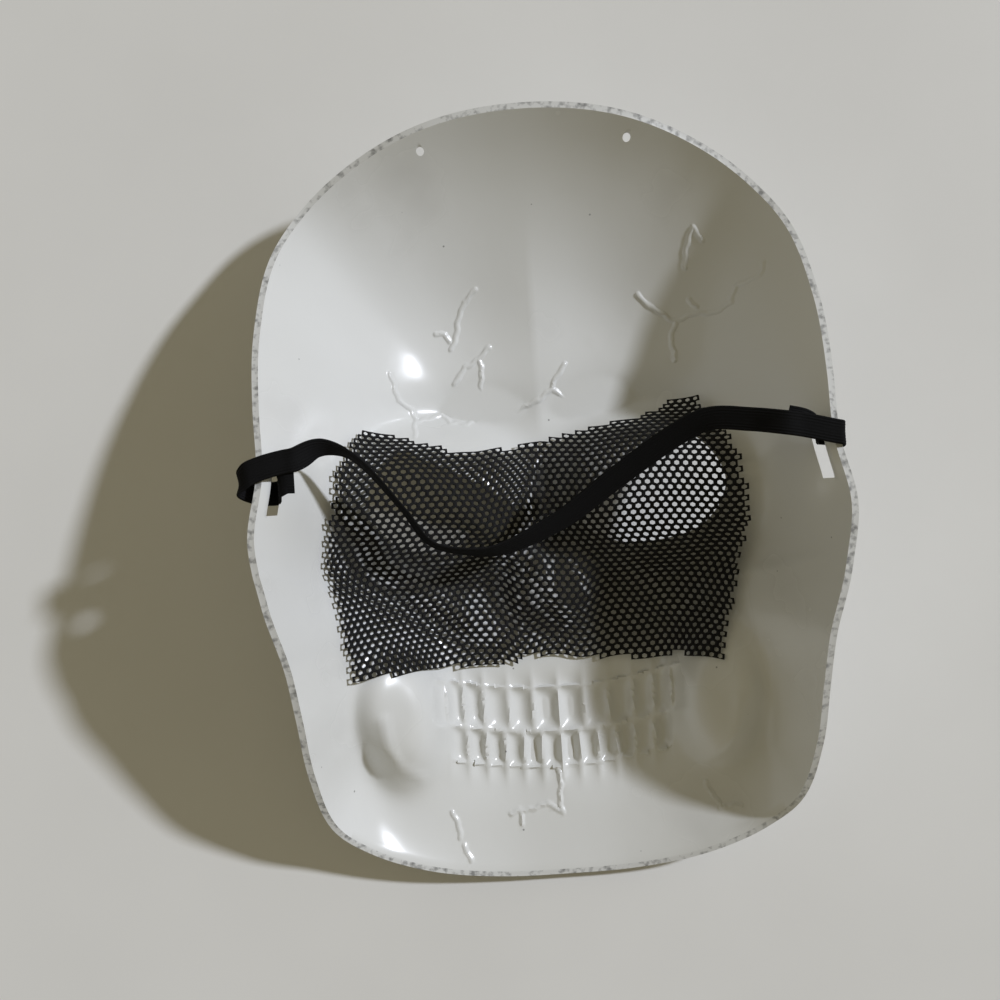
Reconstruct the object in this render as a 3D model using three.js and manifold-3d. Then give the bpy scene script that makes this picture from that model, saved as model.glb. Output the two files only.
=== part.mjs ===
// Skull mask: a thin pressed plastic shell that lies face down, mesh cloth inside its eye and nose holes,
// and a flat elastic strap from slot to slot. Millimetres, +Z up, +Y towards the crown, floor at Z = 0.
import * as THREE from "three";
import { mergeVertices } from "three/addons/utils/BufferGeometryUtils.js";
import Module from "manifold-3d";

const wasm = await Module();
wasm.setup();

// Driving sizes of the shell
const maskWide = 206;
const maskTall = 278;
const crownReach = 0.97; // how far the crown lies from the middle of the face, as a share of the chin's reach
const rimHigh = 82;
const wall = 1;
const lipWide = 1.8;
const standOff = 2.1;

// Driving sizes of its holes and teeth
const eyeHoleWide = 52;
const eyeHoleTall = 38;
const nostrilWide = 12;
const nostrilTall = 21;
const septumWide = 3;
const slotLong = 20;
const slotWide = 3.2;
const slotInset = 4.6;
const topHoleAcross = 2.8;
const archHalf = 46.5;
const toothDeep = 2.4;

// Driving sizes of the cloth and the strap
const clothThick = 0.8;
const clothPuff = 2.2;
const strapWide = 8;
const strapThick = 1;
const strapSlack = 5;
const strapLapLeft = 6;
const strapLapRight = 15;
const lapGap = 0.2;
const seatGap = 0.35;
const stitchedLong = 0.8; // share of the lap's half that the stitches hold
const stitchedWide = 0.7; // share of the strap's width that they hold
const clothPressed = 0.45; // 0 lies on the shell, 1 is stretched flat over it

const halfWide = maskWide / 2 - lipWide;
const halfTall = (maskTall - 2 * lipWide) / (1 + crownReach); // middle of the face to the chin's edge

// The rim from crown to chin. across and up are shares of half the width and half the height,
// lift is a share of the highest rim, and steep says how late the wall turns up towards it.
const rimLine = [
  { name: "crown", across: 0, up: crownReach, lift: 0.55, steep: 4.2 },
  { name: "crown side", across: 0.35, up: 0.937, lift: 0.53, steep: 4.2 },
  { name: "upper forehead", across: 0.621, up: 0.851, lift: 0.46, steep: 3.9 },
  { name: "forehead corner", across: 0.8, up: 0.746, lift: 0.43, steep: 3.5 },
  { name: "upper temple", across: 0.9, up: 0.632, lift: 0.5, steep: 3.1 },
  { name: "temple", across: 0.95, up: 0.45, lift: 0.64, steep: 2.9 },
  { name: "lower temple", across: 0.955, up: 0.255, lift: 0.78, steep: 2.7 },
  { name: "slot", across: 0.945, up: 0.095, lift: 0.86, steep: 2.7 },
  { name: "cheekbone end", across: 0.985, up: -0.065, lift: 0.955, steep: 3 },
  { name: "below cheekbone", across: 0.96, up: -0.215, lift: 0.93, steep: 3.2 },
  { name: "cheek", across: 0.91, up: -0.365, lift: 0.82, steep: 3.6 },
  { name: "jaw branch", across: 0.89, up: -0.505, lift: 0.7, steep: 4.4 },
  { name: "jaw branch foot", across: 0.875, up: -0.66, lift: 0.55, steep: 6 },
  { name: "jaw corner", across: 0.835, up: -0.805, lift: 0.335, steep: 8 },
  { name: "jaw edge", across: 0.735, up: -0.885, lift: 0.19, steep: 9 },
  { name: "chin side", across: 0.53, up: -0.955, lift: 0.105, steep: 8 },
  { name: "chin flank", across: 0.24, up: -0.995, lift: 0.045, steep: 6 },
  { name: "chin", across: 0, up: -1, lift: 0.035, steep: 5 },
];

// Forms pressed into the face on both sides. across and wide are shares of half the width, up and tall
// of half the height, and rise of the rim height: above 0 it sinks into the face, below 0 it stands out.
const faceForms = [
  { name: "eye socket", across: 0.385, up: 0, wide: 0.33, tall: 0.19, rise: 0.225, edge: 2.4 },
  { name: "brow", across: 0.33, up: 0.23, wide: 0.29, tall: 0.065, rise: -0.06, edge: 1 },
  { name: "nose root", across: 0, up: 0.1, wide: 0.145, tall: 0.065, rise: 0.04, edge: 1 },
  { name: "nasal bone", across: 0, up: -0.065, wide: 0.085, tall: 0.085, rise: -0.02, edge: 1 },
  { name: "nose cavity", across: 0, up: -0.23, wide: 0.15, tall: 0.1, rise: 0.075, edge: 2 },
  { name: "cheekbone", across: 0.7, up: -0.16, wide: 0.25, tall: 0.095, rise: -0.1, edge: 1 },
  { name: "cheek hollow", across: 0.58, up: -0.54, wide: 0.145, tall: 0.18, rise: 0.2, edge: 2 },
  { name: "jaw side", across: 0.58, up: -0.54, wide: 0.27, tall: 0.285, rise: 0.12, edge: 1 },
  { name: "temple dish", across: 0.855, up: 0.37, wide: 0.145, tall: 0.21, rise: 0.055, edge: 1 },
  { name: "ear flare", across: 0.885, up: 0.08, wide: 0.08, tall: 0.16, rise: 0.11, edge: 1 },
  { name: "frontal eminence", across: 0.29, up: 0.475, wide: 0.29, tall: 0.19, rise: -0.055, edge: 1 },
  { name: "chin boss", across: 0.22, up: -0.75, wide: 0.19, tall: 0.065, rise: -0.02, edge: 1 },
];

// Bounds of the teeth on one side, as shares of half the dental arch.
const toothBounds = [
  { upper: 0, lower: 0 },
  { upper: 0.206, lower: 0.15 },
  { upper: 0.404, lower: 0.3 },
  { upper: 0.602, lower: 0.45 },
  { upper: 0.763, lower: 0.6 },
  { upper: 0.9, lower: 0.75 },
  { upper: 1, lower: 0.9 },
];

// Rows of teeth, their ends as shares of half the height.
const toothRows = [
  { name: "upper", top: -0.513, bottom: -0.632 },
  { name: "lower", top: -0.632, bottom: -0.731 },
];

// Smooth curve through the rows of a table: the value of one column at a place between two rows.
function smoothAt(rows, place, column, at) {
  let k = 1;
  while (k < rows.length - 3 && rows[k + 1][place] < at) k++;
  const [before, from, to, after] = rows.slice(k - 1, k + 3);
  const span = to[place] - from[place];
  const share = (at - from[place]) / span;
  const slopeFrom = (to[column] - before[column]) / (to[place] - before[place]);
  const slopeTo = (after[column] - from[column]) / (after[place] - from[place]);
  const fade = 1 - share;
  return (
    from[column] * fade * fade * (1 + 2 * share) +
    to[column] * share * share * (3 - 2 * share) +
    slopeFrom * span * share * fade * fade -
    slopeTo * span * share * share * fade
  );
}

// The rim line as angles and radii round the middle of the face, with a mirrored row past each end.
function polarRim() {
  const rows = rimLine.map((row) => ({
    ...row,
    angle: Math.atan2(row.up * halfTall, row.across * halfWide),
    radius: Math.hypot(row.up * halfTall, row.across * halfWide),
  }));
  rows.reverse();
  const first = rows[1];
  const last = rows[rows.length - 2];
  rows.unshift({ ...first, angle: -Math.PI - first.angle });
  rows.push({ ...last, angle: Math.PI - last.angle });
  return rows;
}
const rimRows = polarRim();

function rimAt(x, y) {
  const angle = Math.atan2(y, Math.abs(x));
  return {
    radius: smoothAt(rimRows, "angle", "radius", angle),
    lift: smoothAt(rimRows, "angle", "lift", angle) * rimHigh,
    steep: smoothAt(rimRows, "angle", "steep", angle),
  };
}

// How far a tooth stands out at a point of the face.
function toothRelief(x, y) {
  const share = Math.abs(x) / archHalf;
  for (const row of toothRows) {
    const top = row.top * halfTall;
    const bottom = row.bottom * halfTall;
    const k = toothBounds.findIndex((bound) => bound[row.name] > share) - 1;
    if (y > top || y < bottom || k < 0) continue;
    const from = toothBounds[k][row.name];
    const to = toothBounds[k + 1][row.name];
    const acrossTooth = (2 * share - from - to) / (to - from);
    const downTooth = (2 * y - top - bottom) / (top - bottom);
    return toothDeep * (1 - acrossTooth ** 4) * (1 - downTooth ** 4);
  }
  return 0;
}

// Height of the outer face. It is cut flat where it would pass through the floor.
function outerHeight(x, y) {
  const rim = rimAt(x, y);
  const share = Math.hypot(x, y) / rim.radius;
  let height = rim.lift * share ** rim.steep;
  for (const form of faceForms) {
    const away = (Math.abs(x) / halfWide - form.across) / form.wide;
    const along = (y / halfTall - form.up) / form.tall;
    height += form.rise * rimHigh * Math.exp(-((away * away + along * along) ** form.edge));
  }
  return Math.max(0, height + standOff - toothRelief(x, y));
}

// Direction in which the face looks inwards at a point, from the slope of its height.
function inwardNormal(x, y) {
  const step = 0.25;
  const slopeX = (outerHeight(x + step, y) - outerHeight(x - step, y)) / (2 * step);
  const slopeY = (outerHeight(x, y + step) - outerHeight(x, y - step)) / (2 * step);
  return new THREE.Vector3(-slopeX, -slopeY, 1).normalize();
}

// Grid of the shell. Columns follow the teeth and then close up towards the rim; rows follow the face.
const cornerWide = 0.77 * halfWide;
const cornerTall = 0.8 * halfTall;
const outerColumns = 7;
const rimCrowding = 1.5;
const swellGrowth = 3;
const teethMeet = 0.722;
const teethBlend = 0.015;
const lowestBlend = 0.1;
const rowZones = [
  { name: "chin", to: -0.814, steps: 7 },
  { name: "lower teeth", to: -0.722, steps: 4 },
  { name: "upper teeth", to: -0.602, steps: 4 },
  { name: "face", to: 0.24, steps: 14 },
  { name: "forehead", to: 1, steps: 12 },
];

function columnShares() {
  const archShare = archHalf / cornerWide;
  const half = [];
  for (let k = 0; k + 1 < toothBounds.length; k++) {
    const bound = toothBounds[k];
    const next = toothBounds[k + 1];
    half.push({ upper: bound.upper * archShare, lower: bound.lower * archShare });
    half.push({
      upper: ((bound.upper + next.upper) / 2) * archShare,
      lower: ((bound.lower + next.lower) / 2) * archShare,
    });
  }
  const last = toothBounds[toothBounds.length - 1];
  for (let k = 0; k <= outerColumns; k++) {
    const gone = 1 - (1 - k / outerColumns) ** rimCrowding;
    half.push({
      upper: THREE.MathUtils.lerp(last.upper * archShare, 1, gone),
      lower: THREE.MathUtils.lerp(last.lower * archShare, 1, gone),
    });
  }
  const mirrored = half.slice(1).map(({ upper, lower }) => ({ upper: -upper, lower: -lower }));
  return [...mirrored.reverse(), ...half];
}

function rowShares() {
  const shares = [-1];
  for (const zone of rowZones) {
    const from = shares[shares.length - 1];
    for (let k = 1; k <= zone.steps; k++) {
      shares.push(THREE.MathUtils.lerp(from, zone.to, k / zone.steps));
    }
  }
  return shares;
}

// Plan position of a grid node: upright columns in the middle that swell out to meet the rim.
function planPoint(column, row) {
  const belowUpper = THREE.MathUtils.smoothstep(-row, teethMeet - teethBlend, teethMeet + teethBlend);
  const aboveRim = THREE.MathUtils.smoothstep(1 + row, 0, lowestBlend);
  const lowness = belowUpper * aboveRim;
  const across = column.upper + (column.lower - column.upper) * lowness;
  const x = across * cornerWide;
  const y = row * cornerTall;
  const reach = Math.max(Math.abs(across), Math.abs(row));
  if (reach === 0) return { x: 0, y: 0 };
  const swell = reach ** swellGrowth * ((rimAt(x, y).radius * reach) / Math.hypot(x, y) - 1);
  return { x: x * (1 + swell), y: y * (1 + swell) };
}

// The outer and inner face nodes of the shell, row by row.
function shellNodes() {
  const columns = columnShares();
  return rowShares().map((row) =>
    columns.map((column) => {
      const { x, y } = planPoint(column, row);
      const outer = new THREE.Vector3(x, y, outerHeight(x, y));
      const normal = inwardNormal(x, y);
      const inner = outer.clone().addScaledVector(normal, wall);
      return { outer, inner, normal };
    }),
  );
}
const nodes = shellNodes();
const rowCount = nodes.length;
const columnCount = nodes[0].length;

// Turns lists of corner points into a solid. Faces wind anticlockwise seen from outside.
function solidOf(faces) {
  return solidOfGeometry(new THREE.BufferGeometry().setFromPoints(faces.flat()));
}

const weldWithin = 1e-4;

function solidOfGeometry(geometry) {
  const bare = geometry.index ? geometry.toNonIndexed() : geometry;
  bare.deleteAttribute("normal");
  bare.deleteAttribute("uv");
  const merged = mergeVertices(bare, weldWithin);
  const vertProperties = merged.attributes.position.array;
  const triVerts = new Uint32Array(merged.index.array);
  return new wasm.Manifold(new wasm.Mesh({ numProp: 3, vertProperties, triVerts }));
}

function meshOf(solid, name, material) {
  const { vertProperties, triVerts } = solid.getMesh();
  const geometry = new THREE.BufferGeometry();
  geometry.setAttribute("position", new THREE.BufferAttribute(vertProperties, 3));
  geometry.setIndex(new THREE.BufferAttribute(triVerts, 1));
  geometry.computeVertexNormals();
  const mesh = new THREE.Mesh(geometry, material);
  mesh.name = name;
  return mesh;
}

// Two triangles over four corners given anticlockwise.
const quad = (a, b, c, d) => [[a, b, c], [a, c, d]];

// Faces between two closed or open lines of points that run the same way.
function strip(lower, upper) {
  return lower.slice(1).flatMap((point, k) => quad(lower[k], point, upper[k + 1], upper[k]));
}

// The nodes along the edge of a block of the grid, anticlockwise seen from above, and back to the first.
function edgeLoop(grid) {
  const last = grid.length - 1;
  const right = grid.map((row) => row[row.length - 1]);
  const left = grid.map((row) => row[0]);
  return [
    ...grid[0].slice(0, -1),
    ...right.slice(0, -1),
    ...grid[last].slice(1).reverse(),
    ...left.reverse(),
  ];
}

function gridFaces(grid, side, facesUp) {
  const faces = [];
  for (let i = 0; i + 1 < grid.length; i++) {
    for (let j = 0; j + 1 < grid[i].length; j++) {
      const corners = [grid[i][j], grid[i][j + 1], grid[i + 1][j + 1], grid[i + 1][j]];
      const [a, b, c, d] = corners.map((node) => node[side]);
      faces.push(...(facesUp ? quad(a, b, c, d) : [[a, c, b], [a, d, c]]));
    }
  }
  return faces;
}

// The shell with its thin turned-out lip.
function shellSolid() {
  const loop = edgeLoop(nodes);
  const outerEdge = loop.map((node) => node.outer);
  const innerEdge = loop.map((node) => node.inner);
  const lipLow = loop.map(({ outer, normal }) => {
    const out = new THREE.Vector3(-normal.x, -normal.y, 0).normalize();
    return outer.clone().addScaledVector(out, lipWide);
  });
  const lipHigh = lipLow.map((point) => point.clone().setZ(point.z + wall));
  return solidOf([
    ...gridFaces(nodes, "outer", false),
    ...gridFaces(nodes, "inner", true),
    ...strip(outerEdge, lipLow),
    ...strip(lipLow, lipHigh),
    ...strip(lipHigh, innerEdge),
  ]);
}

// An upright cutter over a plan outline, tall enough to pass through the whole mask.
function cutter(points) {
  const shape = new THREE.Shape(points);
  const depth = rimHigh * 2;
  const geometry = new THREE.ExtrudeGeometry(shape, { depth, bevelEnabled: false });
  return solidOfGeometry(geometry.translate(0, 0, -rimHigh / 2));
}

// Closed smooth plan outline through the rows of a table, about a centre and mirrored by side.
function roundOutline(rows, centre, wide, tall, side, edges) {
  const corners = rows.map(
    (row) => new THREE.Vector3(
      side * (centre.x + (row.across * wide) / 2),
      centre.y + (row.up * tall) / 2,
      0,
    ),
  );
  const curve = new THREE.CatmullRomCurve3(corners, true, "centripetal");
  const points = curve.getSpacedPoints(edges).slice(0, -1);
  return points.map((point) => new THREE.Vector2(point.x, point.y));
}

const eyeCentre = { x: 0.373 * halfWide, y: 0 };
const eyeOutline = [
  { name: "inner corner", across: -1, up: -0.3 },
  { name: "inner brow", across: -0.6, up: 0.25 },
  { name: "brow", across: 0.05, up: 0.72 },
  { name: "outer brow", across: 0.6, up: 1 },
  { name: "outer side", across: 1, up: 0.1 },
  { name: "outer foot", across: 0.66, up: -0.76 },
  { name: "foot", across: -0.24, up: -1 },
  { name: "inner foot", across: -0.82, up: -0.72 },
];

const nostrilCentre = { x: (septumWide + nostrilWide) / 2, y: -0.228 * halfTall };
const nostrilOutline = [
  { name: "top", across: -0.6, up: 1 },
  { name: "outer side", across: 0.35, up: 0.1 },
  { name: "outer foot", across: 1, up: -0.75 },
  { name: "foot", across: 0.3, up: -1 },
  { name: "inner foot", across: -0.9, up: -0.7 },
  { name: "septum", across: -1, up: 0.4 },
];

// The strap slot follows the rim at a fixed inset.
const slotCentreUp = 0.069 * halfTall;
const slotEnds = [slotCentreUp - slotLong / 2, slotCentreUp + slotLong / 2];

// Half the width between the rims at a height of the face, found by closing in on it.
function rimAcross(y) {
  const rounds = 8;
  let x = halfWide;
  for (let k = 0; k < rounds; k++) {
    x = Math.sqrt(Math.max(0, rimAt(x, y).radius ** 2 - y * y));
  }
  return x;
}

function slotOutline(side) {
  const steps = 6;
  const line = (offset) =>
    Array.from({ length: steps + 1 }, (_, k) => {
      const y = slotEnds[0] + (slotLong * k) / steps;
      return new THREE.Vector2(side * (rimAcross(y) - slotInset + offset), y);
    });
  return [...line(slotWide / 2), ...line(-slotWide / 2).reverse()];
}

const topHoleAt = { x: 0.366 * halfWide, y: 0.892 * halfTall };
const roundCorners = 6;
const roundHole = Array.from({ length: roundCorners }, (_, k) => {
  const angle = (2 * Math.PI * k) / roundCorners;
  return { across: Math.cos(angle), up: Math.sin(angle) };
});

const holes = [
  { name: "eye", rows: eyeOutline, at: eyeCentre, wide: eyeHoleWide, tall: eyeHoleTall, edges: 28 },
  { name: "nostril", rows: nostrilOutline, at: nostrilCentre, wide: nostrilWide, tall: nostrilTall, edges: 16 },
  { name: "top hole", rows: roundHole, at: topHoleAt, wide: topHoleAcross, tall: topHoleAcross, edges: 10 },
];

function maskShell() {
  let solid = shellSolid();
  for (const side of [-1, 1]) {
    for (const { rows, at, wide, tall, edges } of holes) {
      solid = solid.subtract(cutter(roundOutline(rows, at, wide, tall, side, edges)));
    }
    solid = solid.subtract(cutter(slotOutline(side)));
  }
  return solid;
}

// Plan outline of the cloth, cut by hand: shares of half the width and of half the height.
const clothOutline = [
  { name: "left brow", across: -0.505, up: 0.173 },
  { name: "left of middle", across: -0.31, up: 0.13 },
  { name: "middle", across: -0.097, up: 0.13 },
  { name: "right of middle", across: 0.136, up: 0.168 },
  { name: "right brow", across: 0.388, up: 0.2 },
  { name: "right peak", across: 0.514, up: 0.253 },
  { name: "right temple", across: 0.64, up: 0.135 },
  { name: "right side", across: 0.694, up: -0.074 },
  { name: "right cheek", across: 0.631, up: -0.293 },
  { name: "right foot", across: 0.573, up: -0.45 },
  { name: "right jaw", across: 0.408, up: -0.445 },
  { name: "below nose", across: -0.01, up: -0.415 },
  { name: "left jaw", across: -0.213, up: -0.44 },
  { name: "left foot", across: -0.485, up: -0.43 },
  { name: "left corner", across: -0.713, up: -0.43 },
  { name: "left cheek", across: -0.723, up: -0.31 },
  { name: "left side", across: -0.767, up: -0.127 },
  { name: "left temple", across: -0.708, up: 0.092 },
  { name: "left peak", across: -0.64, up: 0.206 },
];

// Folds of the cloth: ridges between two plan points, shares as in the outline, high as shares of the rim.
const clothFolds = [
  { name: "brow fold", fromX: -0.39, fromY: 0.125, toX: 0.24, toY: -0.255, wide: 0.05, high: 0.055 },
  { name: "cheek fold", fromX: -0.73, fromY: -0.065, toX: -0.1, toY: -0.37, wide: 0.05, high: 0.05 },
  { name: "right fold", fromX: 0.195, fromY: -0.14, toX: 0.58, toY: -0.4, wide: 0.05, high: 0.035 },
];

function foldLift(x, y) {
  let lift = 0;
  for (const fold of clothFolds) {
    const from = new THREE.Vector2(fold.fromX * halfWide, fold.fromY * halfTall);
    const along = new THREE.Vector2(fold.toX * halfWide, fold.toY * halfTall).sub(from);
    const point = new THREE.Vector2(x, y).sub(from);
    const share = THREE.MathUtils.clamp(point.dot(along) / along.lengthSq(), 0, 1);
    const away = point.distanceTo(along.multiplyScalar(share)) / (fold.wide * halfWide);
    lift += fold.high * rimHigh * Math.sin(Math.PI * share) * Math.exp(-away * away);
  }
  return lift;
}

// Heights of the cloth over a block of the shell's grid: it is stretched flat between what it rests on.
function stretchedHeights(block) {
  const floors = block.map((row) => row.map(({ inner, normal }) => inner.z + seatGap / normal.z));
  const heights = floors.map((row) => [...row]);
  const rounds = 60;
  for (let round = 0; round < rounds; round++) {
    for (let i = 1; i + 1 < heights.length; i++) {
      for (let j = 1; j + 1 < heights[i].length; j++) {
        const around = heights[i - 1][j] + heights[i + 1][j] + heights[i][j - 1] + heights[i][j + 1];
        heights[i][j] = Math.max(floors[i][j], around / 4);
      }
    }
  }
  return heights.map((row, i) =>
    row.map((height, j) => {
      const { x, y } = block[i][j].inner;
      return THREE.MathUtils.lerp(floors[i][j], height, clothPressed) + foldLift(x, y) + puffAt(x, y);
    }),
  );
}

// The cloth stands a little off the edges of the eye holes and nostrils.
function puffAt(x, y) {
  const spots = [
    { at: eyeCentre, wide: eyeHoleWide, tall: eyeHoleTall },
    { at: nostrilCentre, wide: nostrilWide * 2, tall: nostrilTall },
  ];
  let puff = 0;
  for (const { at, wide, tall } of spots) {
    const away = ((Math.abs(x) - at.x) / wide) ** 2 + ((y - at.y) / tall) ** 2;
    puff = Math.max(puff, clothPuff * Math.exp(-((away * 2) ** 2)));
  }
  return puff;
}

function eyeMesh() {
  const reachUp = 0.32 * halfTall;
  const reachDown = -0.51 * halfTall;
  const reachAcross = 0.84 * halfWide;
  const rows = nodes.filter((row) => {
    const { y } = row[(columnCount - 1) / 2].inner;
    return y > reachDown && y < reachUp;
  });
  const columns = nodes[Math.floor(rowCount / 2)].map((node) => Math.abs(node.inner.x) < reachAcross);
  const block = rows.map((row) => row.filter((_, j) => columns[j]));
  const heights = stretchedHeights(block);
  const grid = block.map((row, i) =>
    row.map(({ inner }, j) => ({
      outer: inner.clone().setZ(heights[i][j]),
      inner: inner.clone().setZ(heights[i][j] + clothThick),
    })),
  );
  const loop = edgeLoop(grid);
  const sheet = solidOf([
    ...gridFaces(grid, "outer", false),
    ...gridFaces(grid, "inner", true),
    ...strip(loop.map((node) => node.outer), loop.map((node) => node.inner)),
  ]);
  const outline = clothOutline.map((row) => new THREE.Vector2(row.across * halfWide, row.up * halfTall));
  return sheet.intersect(cutter(outline));
}

// The strap's way through the hollow, chosen by hand from left to right. across, up and high are shares of
// half the width, half the height and the rim height; lean turns the band from flat to on edge, in degrees.
const strapWay = [
  { name: "turning", across: -0.747, up: 0.149, high: 0.93, lean: 45 },
  { name: "on edge", across: -0.652, up: 0.125, high: 0.87, lean: 75 },
  { name: "going down", across: -0.505, up: -0.006, high: 0.67, lean: 85 },
  { name: "near the nose", across: -0.415, up: -0.099, high: 0.55, lean: 88 },
  { name: "lowest", across: -0.281, up: -0.127, high: 0.495, lean: 88 },
  { name: "turning back", across: -0.178, up: -0.126, high: 0.48, lean: 70 },
  { name: "rising", across: 0.039, up: -0.063, high: 0.525, lean: 25 },
  { name: "over right eye", across: 0.247, up: 0.038, high: 0.615, lean: 8 },
  { name: "at right brow", across: 0.454, up: 0.131, high: 0.735, lean: 0 },
  { name: "over right brow", across: 0.553, up: 0.159, high: 0.805, lean: 0 },
  { name: "at right temple", across: 0.682, up: 0.149, high: 0.9, lean: 0 },
];

const strapUp = slotEnds[1] - strapWide / 2 - 2 * seatGap;

// The loop round the rim on one side: from its lapped tail inside, out through the slot and back over the lip.
function loopPoints(side, strapLap, slack) {
  const strapEdge = strapUp - strapWide / 2;
  const rimX = rimAcross(strapEdge);
  const rimZ = outerHeight(rimX, strapEdge);
  const slotX = rimAcross(strapUp) - slotInset;
  const slotZ = outerHeight(slotX, strapUp);
  const clear = strapThick / 2 + seatGap;
  const bandZ = rimZ + wall + clear + seatGap;
  const lapZ = bandZ - strapThick - lapGap;
  const outX = rimX + lipWide + clear + slack;
  const places = [
    { name: "tail end", x: slotX - strapLap, z: lapZ },
    { name: "tail", x: slotX - strapLap / 2, z: lapZ },
    { name: "tail bend", x: slotX - strapLap / 5, z: lapZ - strapThick },
    { name: "above slot", x: slotX - strapThick / 2, z: slotZ + wall + 2 * clear },
    { name: "in slot", x: slotX, z: slotZ + wall / 2 },
    { name: "below slot", x: slotX + strapThick, z: slotZ - 2 * clear },
    { name: "under lip", x: rimX + lipWide, z: (slotZ + rimZ) / 2 - 2 * clear },
    { name: "outside", x: outX, z: rimZ - clear },
    { name: "over lip", x: (rimX + lipWide + outX) / 2, z: bandZ },
    { name: "inside lip", x: rimX - clear, z: bandZ + seatGap },
    { name: "band over lap", x: slotX - strapLap / 2, z: bandZ },
    { name: "band past lap", x: slotX - strapLap * 1.1, z: bandZ },
  ];
  return places.map(({ x, z }) => ({
    at: new THREE.Vector3(side * x, strapUp, z),
    lean: 0,
    looped: true,
  }));
}

// The stitches that hold a tail to the band: a block between the middles of the two layers.
function tackSolid(loop) {
  const tail = loop[1].at;
  const long = Math.abs(loop[0].at.x - tail.x) * stitchedLong;
  const deep = strapThick + lapGap;
  const geometry = new THREE.BoxGeometry(long, strapWide * stitchedWide, deep);
  return solidOfGeometry(geometry.translate(tail.x, tail.y, tail.z + deep / 2));
}

// A flat band swept through stations, each with its middle and the direction of its width.
function bandSolid(stations) {
  const rings = stations.map(({ middle, widthWay, along }) => {
    const thickWay = new THREE.Vector3().crossVectors(along, widthWay).normalize();
    const corner = (w, t) =>
      middle
        .clone()
        .addScaledVector(widthWay, (w * strapWide) / 2)
        .addScaledVector(thickWay, (t * strapThick) / 2);
    const ring = [corner(-1, -1), corner(1, -1), corner(1, 1), corner(-1, 1)];
    return [...ring, ring[0]];
  });
  const [a, b, c, d] = rings[0];
  const [e, f, g, h] = rings[rings.length - 1];
  const walls = rings.slice(1).flatMap((ring, k) => strip(rings[k], ring));
  return solidOf([...quad(d, c, b, a), ...walls, ...quad(e, f, g, h)]);
}

// Stations along the strap. In a loop its width stays along Y, elsewhere it leans over by the way's table.
function strapStations(places) {
  const curve = new THREE.CatmullRomCurve3(places.map((place) => place.at), false, "centripetal");
  const perPlace = 3;
  const steps = perPlace * (places.length - 1);
  const up = new THREE.Vector3(0, 0, 1);
  const stations = [];
  for (let k = 0; k <= steps; k++) {
    const before = places[Math.min(Math.floor(k / perPlace), places.length - 2)];
    const after = places[places.indexOf(before) + 1];
    const along = curve.getTangent(k / steps);
    const share = k / perPlace - places.indexOf(before);
    const lean = THREE.MathUtils.degToRad(THREE.MathUtils.lerp(before.lean, after.lean, share));
    const flatWay = new THREE.Vector3().crossVectors(up, along).normalize();
    const edgeWay = new THREE.Vector3().crossVectors(along, flatWay).normalize();
    const widthWay =
      before.looped && after.looped
        ? new THREE.Vector3(0, 1, 0)
        : flatWay.multiplyScalar(Math.cos(lean)).addScaledVector(edgeWay, Math.sin(lean));
    stations.push({ middle: curve.getPoint(k / steps), widthWay, along });
  }
  return stations;
}

function elasticStrap() {
  const leftLoop = loopPoints(-1, strapLapLeft, strapSlack);
  const rightLoop = loopPoints(1, strapLapRight, 0);
  const way = strapWay.map((row) => ({
    at: new THREE.Vector3(row.across * halfWide, row.up * halfTall, row.high * rimHigh),
    lean: row.lean,
    looped: false,
  }));
  const tacks = [tackSolid(leftLoop), tackSolid(rightLoop)];
  const places = [...leftLoop, ...way, ...rightLoop.reverse()];
  const band = bandSolid(strapStations(places));
  return tacks.reduce((joined, tack) => joined.add(tack), band);
}

const glossyWhite = new THREE.MeshStandardMaterial({ color: 0xe8e8e2, roughness: 0.25, metalness: 0 });
const blackMesh = new THREE.MeshStandardMaterial({ color: 0x0d0d0e, roughness: 0.9, metalness: 0 });
const blackElastic = new THREE.MeshStandardMaterial({ color: 0x101012, roughness: 0.8, metalness: 0 });

const group = new THREE.Group();
group.add(meshOf(maskShell(), "mask_shell", glossyWhite));
group.add(meshOf(eyeMesh(), "eye_mesh", blackMesh));
group.add(meshOf(elasticStrap(), "elastic_strap", blackElastic));

// The middle of the whole object's box stands over the origin.
const box = new THREE.Box3().setFromObject(group);
const middle = box.getCenter(new THREE.Vector3());
group.position.set(-middle.x, -middle.y, 0);

export default group;
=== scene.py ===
# Skull mask lying face down, seen into its hollow: a pressed plastic shell, a net over its eye and
# nose holes, and a flat elastic strap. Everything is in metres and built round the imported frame.
import math

import bmesh
import bpy
import numpy as np
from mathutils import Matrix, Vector


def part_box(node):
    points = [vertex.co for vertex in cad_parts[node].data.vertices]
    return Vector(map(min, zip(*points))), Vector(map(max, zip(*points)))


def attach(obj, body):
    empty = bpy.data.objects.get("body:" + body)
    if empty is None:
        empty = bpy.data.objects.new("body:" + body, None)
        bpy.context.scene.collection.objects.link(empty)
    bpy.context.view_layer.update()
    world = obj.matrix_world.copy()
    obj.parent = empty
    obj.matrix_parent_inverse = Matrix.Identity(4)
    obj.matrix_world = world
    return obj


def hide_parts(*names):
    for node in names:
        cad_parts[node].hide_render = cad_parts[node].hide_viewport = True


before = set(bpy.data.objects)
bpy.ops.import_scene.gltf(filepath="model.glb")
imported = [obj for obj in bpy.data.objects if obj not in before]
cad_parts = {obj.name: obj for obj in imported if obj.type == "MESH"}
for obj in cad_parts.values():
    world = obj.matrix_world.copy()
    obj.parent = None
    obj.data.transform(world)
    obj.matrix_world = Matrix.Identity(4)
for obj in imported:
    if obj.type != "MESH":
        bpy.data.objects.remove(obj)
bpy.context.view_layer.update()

mm = 0.001
shellLow, shellHigh = (Vector(corner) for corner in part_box("mask_shell"))
lipWide = 1.8 * mm
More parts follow.
